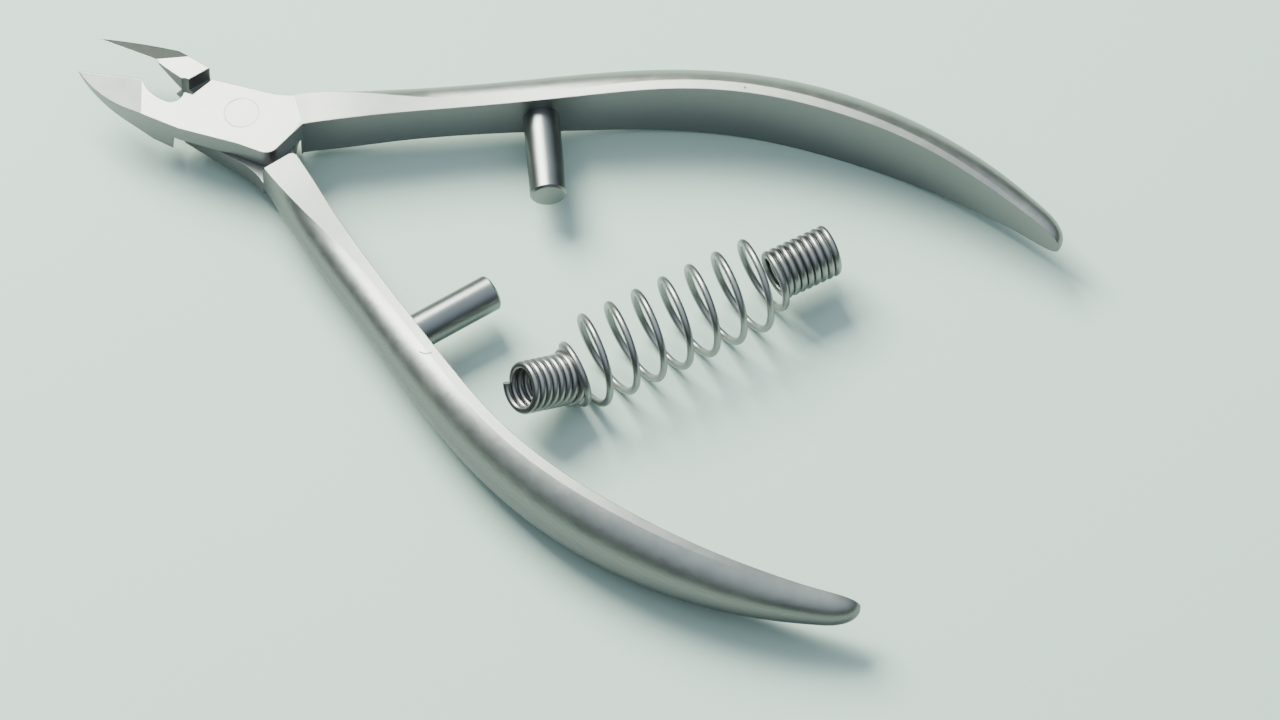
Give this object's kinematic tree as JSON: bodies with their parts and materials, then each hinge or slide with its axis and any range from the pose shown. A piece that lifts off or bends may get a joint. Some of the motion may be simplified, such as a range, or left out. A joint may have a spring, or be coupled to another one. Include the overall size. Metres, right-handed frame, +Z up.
{
  "type": "cuticle nipper",
  "caption": "Lap-joint cuticle nipper lying open, with bowed half-round handles, spring posts and a loose barrel return spring beside it.",
  "frame": {"origin": "centre of the open nipper's footprint, on the table plane it lies on", "axes": "+X from the jaws to the handle ends, +Y towards the handle of half A, +Z up, parallel to the pivot axis"},
  "size_m": [0.1106, 0.0674, 0.0107],
  "materials": {
    "satin_steel": "satin, ground flat on the joint face",
    "rivet_steel": "satin, dressed flush",
    "post_steel": "fine turned",
    "spring_wire": "drawn bright wire"
  },
  "bodies": {
    "half_a_body": {"half_a": "satin_steel", "pivot_rivet": "rivet_steel", "spring_post_a": "post_steel"},
    "half_b_body": {"half_b": "satin_steel", "spring_post_b": "post_steel"},
    "spring_body": {"barrel_spring": "spring_wire"}
  },
  "joints": [
    {"name": "pivot", "type": "hinge", "parent": "half_a_body", "child": "half_b_body", "pos_m": [-0.0353, 0, 0.00496], "axis": [0, 0, 1], "range_deg": [-6, 13.6]},
    {"name": "spring_push", "type": "slide", "parent": "half_a_body", "child": "spring_body", "axis": [0, 1, 0], "range_m": [-0.0045, 0.01]}
  ],
  "couplings": [
    {"joint": "spring_push", "follows": "pivot", "m_per_rad": 0.04}
  ]
}
